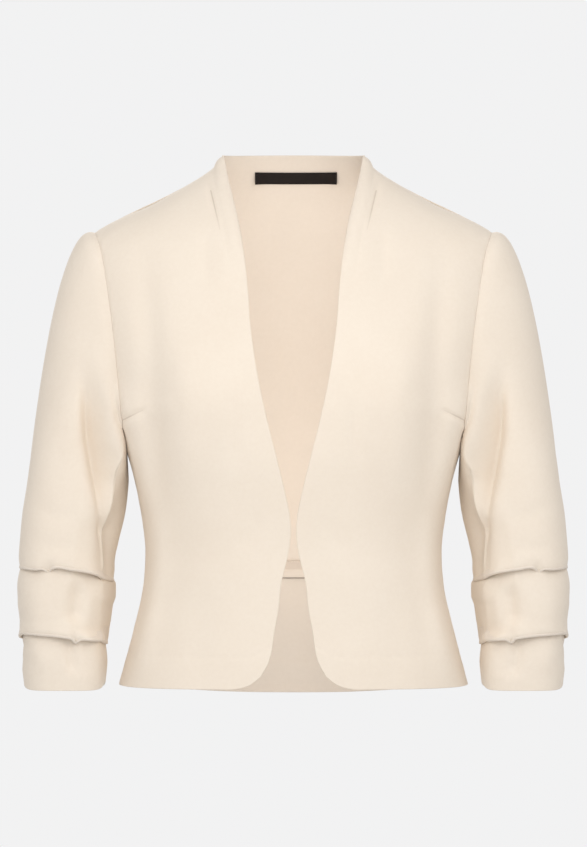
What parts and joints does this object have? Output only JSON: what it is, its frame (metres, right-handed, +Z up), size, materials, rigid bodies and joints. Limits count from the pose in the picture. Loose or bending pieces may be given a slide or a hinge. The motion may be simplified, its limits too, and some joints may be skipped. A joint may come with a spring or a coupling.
{
  "type": "blazer",
  "caption": "Short collarless blazer as a hollow filled-out garment: stand neck, open curved fronts, waist seam at the back and three-quarter sleeves with tucks.",
  "frame": {"origin": "the middle of the neck, level with the points where the shoulder seams meet the neck", "axes": "+Z up, the wearer faces -Y, +X is the wearer's left"},
  "size_m": [0.5528, 0.2365, 0.5441],
  "materials": {
    "cream_crepe": "matt crepe weave",
    "inside_cream": "matt, the same cloth seen inside",
    "label_black": "plain woven ribbon, blank"
  },
  "bodies": {
    "root": {"front_right": "cream_crepe", "front_left": "cream_crepe", "back_upper": "cream_crepe", "back_peplum": "cream_crepe", "top_sleeve_right": "cream_crepe", "top_sleeve_left": "cream_crepe", "under_sleeve_right": "cream_crepe", "under_sleeve_left": "cream_crepe", "waist_stay": "inside_cream", "neck_label": "label_black"}
  },
  "joints": []
}
